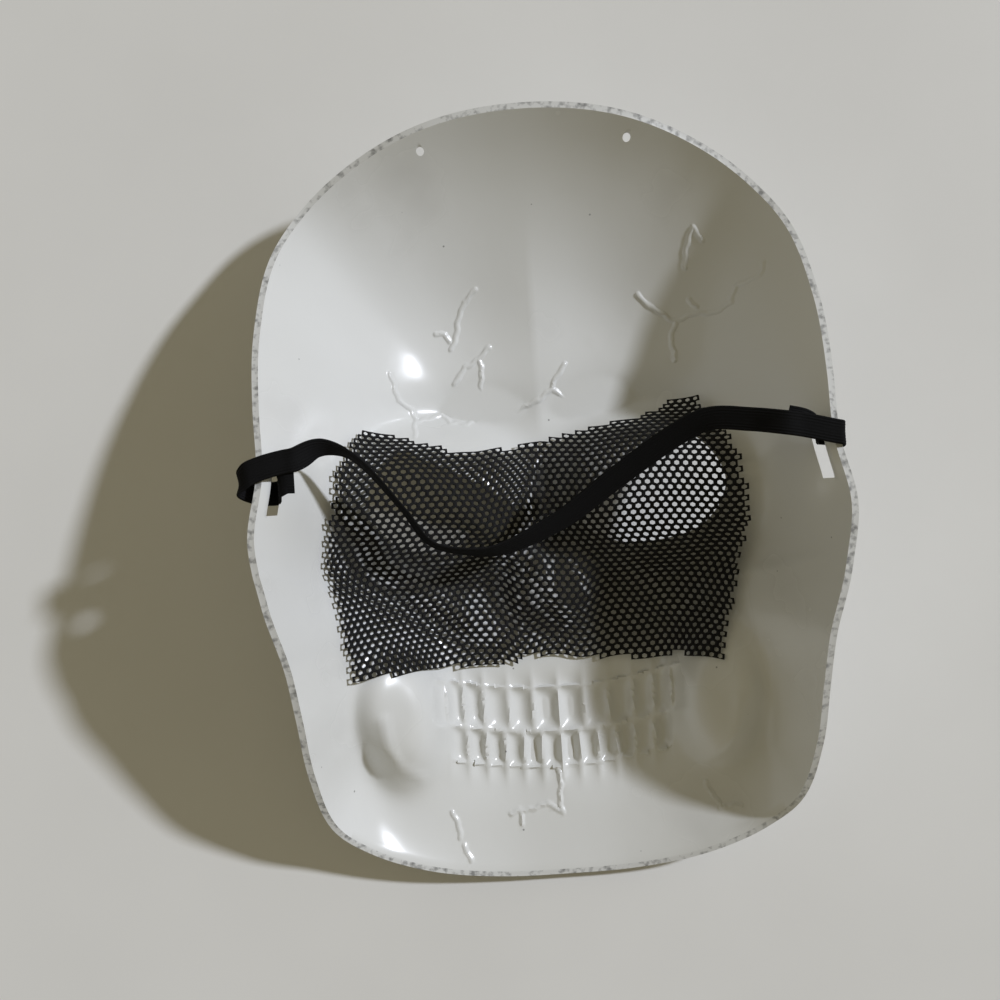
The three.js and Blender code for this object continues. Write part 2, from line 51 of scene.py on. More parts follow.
halfWide = (shellHigh.x - shellLow.x) / 2 - lipWide
crownReach = 0.97
halfTall = (shellHigh.y - shellLow.y - 2 * lipWide) / (1 + crownReach)
faceMiddle = Vector(((shellLow.x + shellHigh.x) / 2, shellLow.y + lipWide + halfTall, 0))
rimHigh = 82 * mm
standOff = 2.1 * mm
packedWall = 1 * mm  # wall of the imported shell, which net and strap lie on


# Small helpers

def newObject(name, bm, materials):
    mesh = bpy.data.meshes.new(name)
    bm.to_mesh(mesh)
    bm.free()
    obj = bpy.data.objects.new(name, mesh)
    bpy.context.scene.collection.objects.link(obj)
    for material in materials:
        mesh.materials.append(material)
    for face in mesh.polygons:
        face.use_smooth = True
    return obj


def applyModifiers(obj):
    # swaps the mesh for the one its modifiers make
    graph = bpy.context.evaluated_depsgraph_get()
    made = bpy.data.meshes.new_from_object(obj.evaluated_get(graph))
    obj.modifiers.clear()
    obj.data = made


def smoothAt(places, values, at):
    # smooth curve through the rows of a table, for a whole array of places
    k = np.clip(np.searchsorted(places, at) - 1, 1, len(places) - 3)
    span = places[k + 1] - places[k]
    share = (at - places[k]) / span
    slopeFrom = (values[k + 1] - values[k - 1]) / (places[k + 1] - places[k - 1])
    slopeTo = (values[k + 2] - values[k]) / (places[k + 2] - places[k])
    fade = 1 - share
    return (values[k] * fade ** 2 * (1 + 2 * share) + values[k + 1] * share ** 2 * (3 - 2 * share)
            + slopeFrom * span * share * fade ** 2 - slopeTo * span * share ** 2 * fade)


def easeBetween(value, low, high):
    share = np.clip((value - low) / (high - low), 0, 1)
    return share * share * (3 - 2 * share)


# Shape of the face. Shares of half the width, half the height and the rim height, as in the frame.

rimLine = [  # across, up, lift, steep
    (0, crownReach, 0.55, 4.2), (0.35, 0.937, 0.53, 4.2), (0.621, 0.851, 0.46, 3.9), (0.8, 0.746, 0.43, 3.5),
    (0.9, 0.632, 0.5, 3.1), (0.95, 0.45, 0.64, 2.9), (0.955, 0.255, 0.78, 2.7), (0.945, 0.095, 0.86, 2.7),
    (0.985, -0.065, 0.955, 3), (0.96, -0.215, 0.93, 3.2), (0.91, -0.365, 0.82, 3.6), (0.89, -0.505, 0.7, 4.4),
    (0.875, -0.66, 0.55, 6), (0.835, -0.805, 0.335, 8), (0.735, -0.885, 0.19, 9), (0.53, -0.955, 0.105, 8),
    (0.24, -0.995, 0.045, 6), (0, -1, 0.035, 5),
]

faceForms = {  # across, up, wide, tall, rise, edge
    "eyeSocket": (0.385, 0, 0.33, 0.19, 0.225, 2.4),
    "brow": (0.33, 0.23, 0.29, 0.065, -0.06, 1),
    "noseRoot": (0, 0.1, 0.145, 0.065, 0.04, 1),
    "nasalBone": (0, -0.065, 0.085, 0.085, -0.02, 1),
    "noseCavity": (0, -0.23, 0.15, 0.1, 0.075, 2),
    "cheekbone": (0.7, -0.16, 0.25, 0.095, -0.1, 1),
    "cheekHollow": (0.58, -0.54, 0.145, 0.18, 0.2, 2),
    "jawSide": (0.58, -0.54, 0.27, 0.285, 0.12, 1),
    "templeDish": (0.855, 0.37, 0.145, 0.21, 0.055, 1),
    "earFlare": (0.885, 0.08, 0.08, 0.16, 0.11, 1),
    "frontalEminence": (0.29, 0.475, 0.29, 0.19, -0.055, 1),
    "chinBoss": (0.22, -0.75, 0.19, 0.065, -0.02, 1),
}

teeth = {
    "archHalf": 46.5 * mm,
    "deep": 2.4 * mm,
    "smile": 7.5 * mm,  # how much higher the rows end than they start
    "uneven": 0.2,
    "turn": 2.3,  # from tooth to tooth, so that their depths differ
    "rowTurn": 9,
    "root": 8 * mm,
    "rootFade": 1.6,
    "rootHigh": 0.4,
    "upper": {"top": -0.513, "bottom": -0.632, "bounds": (0, 0.206, 0.404, 0.602, 0.763, 0.9, 1)},
    "lower": {"top": -0.632, "bottom": -0.731, "bounds": (0, 0.15, 0.3, 0.45, 0.6, 0.75, 0.9)},
}


def polarRim():
    rows = []
    for across, up, lift, steep in reversed(rimLine):
        x, y = across * halfWide, up * halfTall
        rows.append((math.atan2(y, x), math.hypot(y, x), lift, steep))
    first, last = rows[1], rows[-2]
    rows.insert(0, (-math.pi - first[0],) + first[1:])
    rows.append((math.pi - last[0],) + last[1:])
    return np.array(rows).T


rimAngle, rimRadius, rimLift, rimSteep = polarRim()


def radiusAt(x, y):
    return smoothAt(rimAngle, rimRadius, np.arctan2(y, np.abs(x)))


def toothRelief(x, y):
    relief = np.zeros_like(x)
    share = np.abs(x) / teeth["archHalf"]
    y = y - teeth["smile"] * share ** 2
    for row in (teeth["upper"], teeth["lower"]):
        bounds = np.array(row["bounds"])
        top, bottom = row["top"] * halfTall, row["bottom"] * halfTall
        k = np.clip(np.searchsorted(bounds, share, side="right") - 1, 0, len(bounds) - 2)
        acrossTooth = (2 * share - bounds[k] - bounds[k + 1]) / (bounds[k + 1] - bounds[k])
        downTooth = (2 * y - top - bottom) / (top - bottom)
        phase = teeth["turn"] * k + np.sign(x) + teeth["rowTurn"] * top / halfTall
        depths = 1 + teeth["uneven"] * np.sin(phase)
        away, down = np.clip(np.abs(acrossTooth), 0, 1), np.clip(np.abs(downTooth), 0, 1)
        crown = (1 - away ** 2) * (1 - down ** 4)
        inside = (np.abs(acrossTooth) < 1) & (np.abs(downTooth) < 1)
        relief += np.where(inside, crown, 0) * depths * teeth["deep"]
        # the root under each tooth, fading into the gum
        gum = top if row is teeth["upper"] else bottom
        past = np.abs(y - gum) / teeth["root"]
        beyond = (y > gum) if row is teeth["upper"] else (y < gum)
        root = np.clip(1 - acrossTooth ** 2, 0, 1) * np.exp(-(past * teeth["rootFade"]) ** 2)
        root = np.where(beyond & (share < bounds[-1]), root, 0)
        relief += root * teeth["rootHigh"] * depths * teeth["deep"]
    return relief


def mainHeight(x, y):
    # the face without its fine relief
    angle = np.arctan2(y, np.abs(x))
    share = np.hypot(x, y) / smoothAt(rimAngle, rimRadius, angle)
    lift = smoothAt(rimAngle, rimLift, angle) * rimHigh
    height = lift * share ** smoothAt(rimAngle, rimSteep, angle)
    for across, up, wide, tall, rise, edge in faceForms.values():
        away = (np.abs(x) / halfWide - across) / wide
        along = (y / halfTall - up) / tall
        height = height + rise * rimHigh * np.exp(-(away ** 2 + along ** 2) ** edge)
    return height + standOff


# Cracks pressed into the bone, as plan points in millimetres from the middle of the face.
cracks = {
    "wide": 0.55 * mm,
    "high": 0.62 * mm,
    "waver": 0.4 * mm,
    "wave": 13 * mm,
    "finer": 0.5,  # size of a second waver, as a share of the first
    "finerTurns": (2.7, 3.1),
    "lines": {
        "leftOuter": [(-20.5, 79), (-25.5, 75), (-28.5, 65), (-31, 57)],
        "leftCurl": [(-37, 64), (-33.5, 63), (-32, 60)],
        "leftTemple": [(-55, 49), (-53, 45), (-52, 39.5), (-48.5, 36), (-46, 31), (-46.5, 24)],
        "jagged": [(-46, 30), (-41, 31.5), (-36.5, 33.5), (-33, 29), (-26.5, 28.5), (-20.5, 34)],
        "level": [(-20.5, 33), (-8, 32), (5.5, 40)],
        "fork": [(5.5, 40), (10.5, 49)],
        "forkShort": [(5.5, 40), (10.8, 35.3)],
        "stem": [(-20.5, 34), (-20.8, 53), (-16.4, 57)],
        "stemFork": [(-20.8, 53), (-27, 50.5), (-30.8, 44)],
        "right": [(39.5, 73.5), (44.5, 68), (50.5, 63), (53, 62), (59.5, 63), (66.5, 63), (72, 65),
                  (74, 70.5), (81, 73.5), (82.5, 77)],
        "rightStem": [(53, 62), (51.5, 56), (51.5, 50), (51.7, 47.5)],
        "rightTwig": [(58.5, 68.5), (61, 65.5)],
        "upperRight": [(60.5, 94), (57.3, 87.3), (57.5, 80)],
        "upperRightShort": [(60.5, 94), (62.8, 89.3)],
        "leftChin": [(-42, -115.5), (-41, -119), (-39.8, -124.5)],
        "leftChinLow": [(-38.6, -127.5), (-37, -133)],
        "chin": [(-21, -118), (-6.5, -115), (-1.5, -118.5), (-1.5, -102.5)],
        "chinHook": [(-17, -117), (-17, -122)],
        "rightChin": [(52, -109), (56.5, -116.5), (56.6, -119.5), (64, -118.3)],
    },
}

# Wider soft ridges: the edge of the cheek hollows and the creases below the cheekbones.
creases = {
    "wide": 1.7 * mm,
    "high": 1.1 * mm,
    "lines": {
        "leftHollow": [(-64, -76), (-62.5, -86), (-59, -94), (-52.5, -100)],
        "rightHollow": [(64, -76), (62.5, -86), (59, -94), (52.5, -100)],
        "leftCheekbone": [(-96, -20), (-85, -28), (-70, -32)],
        "rightCheekbone": [(64, -33), (78, -31), (90, -27)],
    },
}


def alongLine(x, y, start, end):
    # share of the way from start to end, and the distance from that line
    ax, ay, bx, by = (value * mm for value in (*start, *end))
    alongX, alongY = bx - ax, by - ay
    share = np.clip(((x - ax) * alongX + (y - ay) * alongY) / (alongX ** 2 + alongY ** 2), 0, 1)
    return share, np.hypot(x - ax - share * alongX, y - ay - share * alongY)


def distanceToLine(x, y, points):
    nearest = np.full(x.shape, 1.0)
    for start, end in zip(points, points[1:]):
        nearest = np.minimum(nearest, alongLine(x, y, start, end)[1])
    return nearest


def lineDistance(x, y, lines):
    return np.min([distanceToLine(x, y, points) for points in lines.values()], axis=0)


def crackDistance(x, y):
    turn = math.tau / cracks["wave"]
    finerX, finerY = cracks["finerTurns"]
    waverX = cracks["waver"] * (np.sin(y * turn) + cracks["finer"] * np.sin(y * turn * finerX + 2))
    waverY = cracks["waver"] * (np.sin(x * turn + 1) + cracks["finer"] * np.sin(x * turn * finerY))
    return lineDistance(x + waverX, y + waverY, cracks["lines"])


def outerHeight(x, y):
    height = mainHeight(x, y) - toothRelief(x, y)
    away = crackDistance(x, y) / cracks["wide"]
    height = height + cracks["high"] * np.exp(-away ** 2)
    height = height + creases["high"] * np.exp(-(lineDistance(x, y, creases["lines"]) / creases["wide"]) ** 2)
    return np.maximum(height, 0)


# Materials

def startMaterial(name, colour, roughness):
    material = bpy.data.materials.new(name)
    material.use_nodes = True
    nodes, links = material.node_tree.nodes, material.node_tree.links
    shader = nodes["Principled BSDF"]
    shader.inputs["Base Color"].default_value = (*colour, 1)
    shader.inputs["Roughness"].default_value = roughness
    return material, nodes, links, shader


def noiseNode(nodes, links, coordinates, scale, detail):
    node = nodes.new("ShaderNodeTexNoise")
    node.inputs["Scale"].default_value = scale
    node.inputs["Detail"].default_value = detail
    links.new(coordinates, node.inputs["Vector"])
    return node


def rangeNode(nodes, links, value, fromLow, fromHigh, toLow, toHigh):
    node = nodes.new("ShaderNodeMapRange")
    for name, number in zip(("From Min", "From Max", "To Min", "To Max"), (fromLow, fromHigh, toLow, toHigh)):
        node.inputs[name].default_value = number
    links.new(value, node.inputs["Value"])
    return node.outputs["Result"]


def mixColour(nodes, links, factor, first, second):
    node = nodes.new("ShaderNodeMix")
    node.data_type = "RGBA"
    links.new(factor, node.inputs["Factor"])
    for name, value in (("A", first), ("B", second)):
        socket = [s for s in node.inputs if s.name == name and s.type == "RGBA"][0]
        if isinstance(value, tuple):
            socket.default_value = (*value, 1)
        else:
            links.new(value, socket)
    return [s for s in node.outputs if s.type == "RGBA"][0]


def addBump(nodes, links, shader, height, strength, distance):
    node = nodes.new("ShaderNodeBump")
    node.inputs["Strength"].default_value = strength
    node.inputs["Distance"].default_value = distance
    links.new(height, node.inputs["Height"])
    links.new(node.outputs["Normal"], shader.inputs["Normal"])


plasticLook = {
    "white": (0.72, 0.725, 0.71),
    "smudge": (0.58, 0.58, 0.565),
    "speck": (0.1, 0.1, 0.1),
    "boneWhite": (0.74, 0.73, 0.67),
    "airbrush": (0.10, 0.10, 0.10),
    "roughness": 0.24,
}


def plasticInside():
    white, roughness = plasticLook["white"], plasticLook["roughness"]
    material, nodes, links, shader = startMaterial("whitePlasticInside", white, roughness)
    place = nodes.new("ShaderNodeTexCoord").outputs["Object"]
    cloudy = noiseNode(nodes, links, place, 22, 3)
    patches = rangeNode(nodes, links, cloudy.outputs["Fac"], 0.56, 0.74, 0, 0.35)
    tinted = mixColour(nodes, links, patches, white, plasticLook["smudge"])
    dots = nodes.new("ShaderNodeTexVoronoi")
    dots.inputs["Scale"].default_value = 75
    links.new(place, dots.inputs["Vector"])
    specks = rangeNode(nodes, links, dots.outputs["Distance"], 0.035, 0.02, 0, 0.7)
    links.new(mixColour(nodes, links, specks, tinted, plasticLook["speck"]), shader.inputs["Base Color"])
    ripple = noiseNode(nodes, links, place, 60, 2)
    addBump(nodes, links, shader, ripple.outputs["Fac"], 0.25, 0.0006)
    links.new(rangeNode(nodes, links, cloudy.outputs["Fac"], 0.3, 0.7, 0.2, 0.3), shader.inputs["Roughness"])
    shader.inputs["Coat Weight"].default_value = 0.15
    shader.inputs["Coat Roughness"].default_value = 0.12
    return material


def plasticFront():
    material, nodes, links, shader = startMaterial("whitePlasticFront", plasticLook["boneWhite"], 0.34)
    place = nodes.new("ShaderNodeTexCoord").outputs["Object"]
    shade = nodes.new("ShaderNodeAttribute")
    shade.attribute_name = "airbrush"
    grain = noiseNode(nodes, links, place, 420, 2)
    cloudy = noiseNode(nodes, links, place, 30, 3)
    wobble = nodes.new("ShaderNodeMath")
    wobble.operation = "MULTIPLY"
    links.new(shade.outputs["Fac"], wobble.inputs[0])
    links.new(rangeNode(nodes, links, cloudy.outputs["Fac"], 0.3, 0.7, 0.7, 1.1), wobble.inputs[1])
    spray = nodes.new("ShaderNodeMath")
    spray.operation = "MULTIPLY"
    links.new(wobble.outputs[0], spray.inputs[0])
    links.new(rangeNode(nodes, links, grain.outputs["Fac"], 0.35, 0.65, 0.75, 1), spray.inputs[1])
    colour = mixColour(nodes, links, spray.outputs[0], plasticLook["boneWhite"], plasticLook["airbrush"])
    links.new(colour, shader.inputs["Base Color"])
    addBump(nodes, links, shader, grain.outputs["Fac"], 0.15, 0.0002)
    return material


def plasticEdge():
    material, nodes, links, shader = startMaterial("whitePlasticEdge", plasticLook["white"], 0.35)
    place = nodes.new("ShaderNodeTexCoord").outputs["Object"]
    streaks = noiseNode(nodes, links, place, 420, 4)
    paint = rangeNode(nodes, links, streaks.outputs["Fac"], 0.48, 0.68, 0.1, 0.75)
    flecked = mixColour(nodes, links, paint, plasticLook["white"], plasticLook["speck"])
    links.new(flecked, shader.inputs["Base Color"])
    return material


print("Skull mask: materials ready")


# Shell

shell = {
    "wall": 0.8 * mm,
    "columns": 124,
    "rows": 158,
    "cornerWide": 0.77 * halfWide,
    "cornerTall": 0.8 * halfTall,
    "crowding": 1.15,  # above 1 the columns crowd towards the rim
    "teethRows": (-0.8, -0.44),  # the grid is finer between these shares of half the height
    "toothEdge": 0.05,
    "crackBand": 2.6 * mm,
    "crackCore": 0.6,
    "lipSteps": ((0.5, 0.1 * mm), (0.5, 0)),  # share of the lip's width, and how far it drops
    "sharpFrom": 50,  # degrees
}

eyeHole = {
    "centre": (0.373 * halfWide, 0),
    "wide": 52 * mm,
    "tall": 38 * mm,
    "points": [(-1, -0.3), (-0.6, 0.25), (0.05, 0.72), (0.6, 1), (1, 0.1), (0.66, -0.76), (-0.24, -1),
               (-0.82, -0.72)],
    "steps": 72,
}

nostril = {
    "centre": (7.5 * mm, -0.228 * halfTall),
    "wide": 12 * mm,
    "tall": 21 * mm,
    "points": [(-0.6, 1), (0.35, 0.1), (1, -0.75), (0.3, -1), (-0.9, -0.7), (-1, 0.4)],
    "steps": 36,
}

strapSlot = {"up": 0.069 * halfTall, "long": 20 * mm, "wide": 3.2 * mm, "inset": 4.6 * mm, "steps": 14}
topHole = {"across": 0.366 * halfWide, "up": 0.892 * halfTall, "wide": 2.8 * mm, "steps": 20}
holeCutter = {"foot": -10 * mm, "tall": 130 * mm}


def planPoints(across, up):
    # square shares to plan positions: straight columns in the middle that swell out to the rim
    x, y = across * shell["cornerWide"], up * shell["cornerTall"]
    reach = np.maximum(np.abs(across), np.abs(up))
    straight = np.maximum(np.hypot(x, y), 1e-9)
    swell = reach ** 3 * (radiusAt(x, y) * reach / straight - 1)
    return x * (1 + swell), y * (1 + swell)


def vertexArrays(bm):
    places = np.array([vert.co[:] for vert in bm.verts])
    return places[:, 0], places[:, 1]


def subdivideNear(bm, wanted):
    # halves the edges whose middle the test picks
    middles = np.array([((edge.verts[0].co + edge.verts[1].co) / 2)[:] for edge in bm.edges])
    picked = wanted(middles[:, 0], middles[:, 1])
    edges = [edge for edge, take in zip(bm.edges, picked) if take]
    bmesh.ops.subdivide_edges(bm, edges=edges, cuts=1, use_grid_fill=True)


def closedCurve(points, steps):
    # round closed line through a few plan points
    found = []
    count = len(points)
    for k in range(count):
        before, here, there, after = (Vector(points[(k + n) % count]) for n in (-1, 0, 1, 2))
        for step in range(steps // count):
            t = step / (steps // count)
            bend = 2 * before - 5 * here + 4 * there - after
            twist = 3 * here - before - 3 * there + after
            found.append(0.5 * (2 * here + (there - before) * t + bend * t ** 2 + twist * t ** 3))
    return found


def holeOutline(hole, side):
    points = [(side * (hole["centre"][0] + a * hole["wide"] / 2), hole["centre"][1] + u * hole["tall"] / 2)
              for a, u in hole["points"]]
    return closedCurve(points, hole["steps"])


def rimAcross(y):
    x = np.array([halfWide])
    for _ in range(8):
        x = np.sqrt(radiusAt(x, np.array([y])) ** 2 - y * y)
    return float(x[0])


def slotOutline(side):
    steps, halfSlot = strapSlot["steps"], strapSlot["wide"] / 2
    ys = [strapSlot["up"] + strapSlot["long"] * (k / steps - 0.5) for k in range(steps + 1)]
    middles = [rimAcross(y) - strapSlot["inset"] for y in ys]
    outer = [Vector((side * (middle + halfSlot), y)) for middle, y in zip(middles, ys)]
    inner = [Vector((side * (middle - halfSlot), y)) for middle, y in zip(middles, ys)]
    return outer + inner[::-1]


def roundOutline(side):
    radius = topHole["wide"] / 2
    found = []
    for k in range(topHole["steps"]):
        turn = k * math.tau / topHole["steps"]
        x = side * topHole["across"] + radius * math.cos(turn)
        y = topHole["up"] + radius * math.sin(turn)
        found.append(Vector((x, y)))
    return found


def addCutter(bm, outline):
    verts = [bm.verts.new((point.x, point.y, holeCutter["foot"])) for point in outline]
    face = bm.faces.new(verts)
    grown = bmesh.ops.extrude_face_region(bm, geom=[face])
    top = [item for item in grown["geom"] if isinstance(item, bmesh.types.BMVert)]
    bmesh.ops.translate(bm, verts=top, vec=(0, 0, holeCutter["tall"]))


def nearRelief(x, y):
    # the rows of teeth, and a band along each crack
    low, high = shell["teethRows"]
    inTeeth = (np.abs(x) < teeth["archHalf"]) & (y > low * halfTall) & (y < high * halfTall)
    return inTeeth | (crackDistance(x, y) < shell["crackBand"])


def onRelief(x, y):
    onTooth = toothRelief(x, y) > shell["toothEdge"] * teeth["deep"]
    return onTooth | (crackDistance(x, y) < shell["crackBand"] * shell["crackCore"])


def buildShell():
    bm = bmesh.new()
    bmesh.ops.create_grid(bm, x_segments=shell["columns"], y_segments=shell["rows"], size=1)
    across, up = vertexArrays(bm)
    across = np.sign(across) * (1 - (1 - np.abs(across)) ** shell["crowding"])
    x, y = planPoints(across, up)
    for vert, px, py in zip(bm.verts, x, y):
        vert.co = (px, py, 0)

    subdivideNear(bm, nearRelief)
    subdivideNear(bm, onRelief)

    x, y = vertexArrays(bm)
    for vert, height in zip(bm.verts, outerHeight(x, y)):
        vert.co.z = height
    print("Skull mask: shell pressed,", len(bm.faces), "faces")

    # thin turned-out lip round the rim
    edges = [edge for edge in bm.edges if edge.is_boundary]
    for wide, drop in shell["lipSteps"]:
        grown = bmesh.ops.extrude_edge_only(bm, edges=edges)
        verts = [item for item in grown["geom"] if isinstance(item, bmesh.types.BMVert)]
        edges = [item for item in grown["geom"] if isinstance(item, bmesh.types.BMEdge)]
        for face in [item for item in grown["geom"] if isinstance(item, bmesh.types.BMFace)]:
            face.material_index = 2
        for vert in verts:
            out = outwardAt(vert.co.x, vert.co.y)
            vert.co += out * lipWide * wide
            vert.co.z -= drop
    bmesh.ops.recalc_face_normals(bm, faces=bm.faces[:])
    if sum(face.normal.z for face in bm.faces) < 0:
        bmesh.ops.reverse_faces(bm, faces=bm.faces[:])

    obj = newObject("maskShell", bm, [plasticInside(), plasticFront(), plasticEdge()])
    shade = obj.data.attributes.new("airbrush", "FLOAT", "POINT")
    co = np.array([vert.co[:] for vert in obj.data.vertices])
    shade.data.foreach_set("value", airbrushAt(co[:, 0], co[:, 1]))
    solid = obj.modifiers.new("wall", "SOLIDIFY")
    solid.thickness = shell["wall"]
    solid.offset = 1
    solid.use_even_offset = True
    solid.material_offset = 1
    solid.material_offset_rim = 2

    cutterMesh = bmesh.new()
    for side in (-1, 1):
        outlines = [holeOutline(eyeHole, side), holeOutline(nostril, side)]
        outlines += [slotOutline(side), roundOutline(side)]
        for outline in outlines:
            addCutter(cutterMesh, outline)
    bmesh.ops.recalc_face_normals(cutterMesh, faces=cutterMesh.faces[:])
    cutterObject = newObject("cutter", cutterMesh, [])
    cut = obj.modifiers.new("holes", "BOOLEAN")
    cut.operation = "DIFFERENCE"
    cut.solver = "EXACT"
    cut.object = cutterObject
    applyModifiers(obj)
    bpy.data.objects.remove(cutterObject)
    obj.data.set_sharp_from_angle(angle=math.radians(shell["sharpFrom"]))
    for vert in obj.data.vertices:
        vert.co += faceMiddle
    return obj


def outwardAt(x, y):
    # plan direction straight out of the rim
    step = 0.5 * mm
    xs = np.array([x + step, x - step, x, x])
    ys = np.array([y, y, y + step, y - step])
    share = np.hypot(xs, ys) / radiusAt(xs, ys)
    return Vector((share[0] - share[1], share[2] - share[3], 0)).normalized()


airbrush = {
    "sprays": {  # strength, reach
        "eyeSocket": (0.9, 1.0),
        "noseCavity": (0.9, 1.0),
        "cheekHollow": (0.55, 1.15),
        "templeDish": (0.3, 1.0),
    },
    "sharpest": 1.6,
    "crack": 0.75,
    "crackWide": 1.1 * mm,
    "gap": 0.6,
    "gapDeep": 0.6,
    "archPast": 3 * mm,
    "archFade": 5 * mm,
    "archLow": (-0.76, -0.735),
    "archHigh": (0.49, 0.515),
}


def airbrushAt(x, y):
    # dark paint lies in the sockets, nose, cheek hollows, temples and cracks, and between the teeth
    shade = np.zeros_like(x)
    for name, (strength, reach) in airbrush["sprays"].items():
        across, up, wide, tall, _, edge = faceForms[name]
        away = (np.abs(x) / halfWide - across) / (wide * reach)
        along = (y / halfTall - up) / (tall * reach)
        spray = np.exp(-(away ** 2 + along ** 2) ** min(edge, airbrush["sharpest"]))
        shade = np.maximum(shade, strength * spray)
    line = np.exp(-(crackDistance(x, y) / airbrush["crackWide"]) ** 2)
    shade = np.maximum(shade, airbrush["crack"] * line)
    inArch = easeBetween(teeth["archHalf"] + airbrush["archPast"] - np.abs(x), 0, airbrush["archFade"])
    level = (y - teeth["smile"] * (x / teeth["archHalf"]) ** 2) / halfTall
    inArch = inArch * easeBetween(level, *airbrush["archLow"]) * easeBetween(-level, *airbrush["archHigh"])
    gaps = 1 - np.clip(toothRelief(x, y) / (airbrush["gapDeep"] * teeth["deep"]), 0, 1)
    return np.maximum(shade, airbrush["gap"] * gaps * inArch)


maskShell = buildShell()
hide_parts("mask_shell")
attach(maskShell, "root")
print("Skull mask: shell built,", len(maskShell.data.polygons), "faces")


# Net over the eye and nose holes

net = {
    "pitchAcross": 3.4 * mm,
    "pitchUp": 2.15 * mm,
    "holeWide": 2.3 * mm,
    "holeTall": 1.85 * mm,
    "thick": 0.45 * mm,
    "gap": 0.45 * mm,
    "pressed": 0.4,
    "mostSlant": 2.6,
    "holePuff": 2.0 * mm,
    "puffEdge": 2,
    "inset": 0.3 * mm,
    "fieldStep": 1.25 * mm,
    "fieldAcross": (-88 * mm, 84 * mm),
    "fieldUp": (-72 * mm, 46 * mm),
    "stretchSteps": 700,
    "smoothSteps": 3,
    "slideSteps": 40,
    "slideShare": 0.5,
    "cellsAcross": 52,
    "cellsUp": 56,
    "middleUp": -16 * mm,
    "outline": [  # plan points in millimetres, anticlockwise from the left peak
        (-65, 28), (-72, 13), (-78, -17), (-74, -44), (-72, -60), (-46, -60), (-22, -61), (-1, -58),
        (16, -61), (41, -62.5), (43, -60), (58, -62.5), (64, -41), (68, -24), (70.5, -10), (70, -3),
        (65, 18.5), (58, 29), (54.5, 38), (48, 31.5), (39, 27), (14, 23), (-12, 18), (-32, 18), (-51, 24),
    ],
    "folds": [  # from, to, half width, height, all in millimetres
        ((-58, 22), (-2, -28), 5.5, 4.0),
        ((-72, -14), (-12, -56), 5.0, 4.5),
        ((-60, 4), (-30, -8), 4.0, 2.5),
        ((18, -22), (58, -56), 5.0, 3.0),
        ((-8, -14), (8, -52), 4.0, 2.5),
        ((10, 16), (-10, -16), 4.5, 2.0),
    ],
}

netStep = net["fieldStep"]
netXs = np.arange(*net["fieldAcross"], netStep)
netYs = np.arange(*net["fieldUp"], netStep)


def wallSlant(x, y):
    # how much longer an upright line through a sloping wall is than the wall is thick
    step = 0.3 * mm
    slopeX = (mainHeight(x + step, y) - mainHeight(x - step, y)) / (2 * step)
    slopeY = (mainHeight(x, y + step) - mainHeight(x, y - step)) / (2 * step)
    return np.sqrt(slopeX ** 2 + slopeY ** 2 + 1)


def netField():
    # heights of the cloth's underside: stretched flat over what it lies on, then pressed part of the way down
    x, y = np.meshgrid(netXs, netYs)
    slant = np.minimum(wallSlant(x, y), net["mostSlant"])
    floor = np.maximum(outerHeight(x, y), mainHeight(x, y)) + (packedWall + net["gap"]) * slant
    taut = floor.copy()
    for _ in range(net["stretchSteps"]):
        around = (taut[:-2, 1:-1] + taut[2:, 1:-1] + taut[1:-1, :-2] + taut[1:-1, 2:]) / 4
        taut[1:-1, 1:-1] = np.maximum(floor[1:-1, 1:-1], around)
    height = floor + (taut - floor) * net["pressed"]
    for start, end, wide, high in net["folds"]:
        share, away = alongLine(x, y, start, end)
        away = away / (wide * mm)
        height += high * mm * np.sin(math.pi * share) * np.exp(-away ** 2)
    for hole in (eyeHole, nostril):
        across, up = hole["centre"]
        away = ((np.abs(x) - across) / hole["wide"]) ** 2 + ((y - up) / hole["tall"]) ** 2
        height += net["holePuff"] * np.exp(-(net["puffEdge"] * away) ** 2)
    for _ in range(net["smoothSteps"]):
        height[1:-1, 1:-1] = (height[1:-1, 1:-1] * 2 + (height[:-2, 1:-1] + height[2:, 1:-1]
                              + height[1:-1, :-2] + height[1:-1, 2:]) / 2) / 4
    return np.maximum(height, floor)


netHeights = netField()


def sampleField(field, x, y):
    # value of a plan grid between its nodes
    i = np.clip((y - netYs[0]) / netStep, 0, len(netYs) - 1.001)
    j = np.clip((x - netXs[0]) / netStep, 0, len(netXs) - 1.001)
    i0, j0 = i.astype(int), j.astype(int)
    fi, fj = i - i0, j - j0
    return (field[i0, j0] * (1 - fi) * (1 - fj) + field[i0, j0 + 1] * (1 - fi) * fj
            + field[i0 + 1, j0] * fi * (1 - fj) + field[i0 + 1, j0 + 1] * fi * fj)


def clothLengths():
    # how far along the cloth each plan point lies, across and up, from the middle of the field
    slopeUp, slopeAcross = np.gradient(netHeights, netStep)
    alongX = np.cumsum(np.sqrt(1 + slopeAcross ** 2), axis=1) * netStep
    alongY = np.cumsum(np.sqrt(1 + slopeUp ** 2), axis=0) * netStep
    middleJ, middleI = int(-netXs[0] / netStep), int((net["middleUp"] - netYs[0]) / netStep)
    return alongX - alongX[:, middleJ:middleJ + 1], alongY - alongY[middleI:middleI + 1, :]


def planFromCloth(u, v):
    # plan points of the cloth's own coordinates: the net keeps its length over slopes and folds
    lengthX, lengthY = clothLengths()
    x, y = u.copy(), v + net["middleUp"]
    share = net["slideShare"]
    for _ in range(net["slideSteps"]):
        x = np.clip(x + share * (u - sampleField(lengthX, x, y)), netXs[0], netXs[-1])
        y = np.clip(y + share * (v - sampleField(lengthY, x, y)), netYs[0], netYs[-1])
    return x, y


